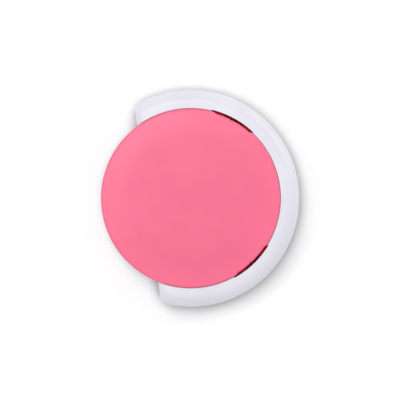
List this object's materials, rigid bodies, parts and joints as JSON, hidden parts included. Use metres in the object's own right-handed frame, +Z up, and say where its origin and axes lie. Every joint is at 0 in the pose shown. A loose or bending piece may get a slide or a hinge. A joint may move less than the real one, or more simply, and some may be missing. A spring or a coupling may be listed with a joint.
{
  "type": "pill splitter",
  "caption": "Round pocket pill splitter: a see-saw disc lid carries a blade and its swinging guard over a V-shaped cradle, inside a C-shaped white rim.",
  "frame": {"origin": "middle of the footprint, on the plane that the feet stand on; the round lid's own axis is 3 mm in front of it", "axes": "+Z up, +Y towards the hinge at the rear, -Y towards the front edge that the thumb lifts, X along the hinge pin"},
  "size_m": [0.068, 0.062, 0.021],
  "materials": {
    "white_shell": "cool white moulded plastic, satin gloss",
    "pink_cover": "coral pink moulded plastic, fine matte texture",
    "cradle_plastic": "cool white moulded plastic, satin gloss",
    "frame_plastic": "white moulded plastic, fine matte texture",
    "grip_silicone": "soft pink silicone",
    "anvil_nylon": "natural nylon",
    "guard_plastic": "pink moulded plastic, fine matte texture",
    "blade_steel": "ground stainless steel",
    "red_pin_steel": "dark red lacquered steel",
    "spring_steel": "bright drawn wire",
    "screw_steel": "zinc-plated steel",
    "foot_rubber": "dark grey rubber"
  },
  "bodies": {
    "base": {"lower_shell": "white_shell", "rim_shell": "white_shell", "rim_screws": "screw_steel", "foot_pads": "foot_rubber", "pill_cradle": "cradle_plastic", "cradle_screws": "screw_steel", "grip_pad_right": "grip_silicone", "grip_pad_left": "grip_silicone", "cutting_anvil": "anvil_nylon", "hinge_pin": "red_pin_steel", "lid_stop_pad": "foot_rubber"},
    "lid": {"lid_cover": "pink_cover", "lid_frame": "frame_plastic", "lid_screws": "screw_steel", "lid_bumpers": "foot_rubber", "blade": "blade_steel", "blade_clamp": "frame_plastic", "blade_screws": "screw_steel"},
    "guard": {"blade_guard": "guard_plastic", "guard_spring_right": "spring_steel", "guard_spring_left": "spring_steel"}
  },
  "joints": [
    {"name": "lid_hinge", "type": "hinge", "parent": "base", "child": "lid", "pos_m": [0, 0.01346, 0.0188], "axis": [-1, 0, 0], "range_deg": [0, 80]},
    {"name": "guard_swing", "type": "hinge", "parent": "lid", "child": "guard", "pos_m": [0, 0.01346, 0.0188], "axis": [-1, 0, 0], "range_deg": [-22, 0]}
  ],
  "couplings": [
    {"joint": "guard_swing", "follows": "lid_hinge", "ratio": -0.275}
  ]
}
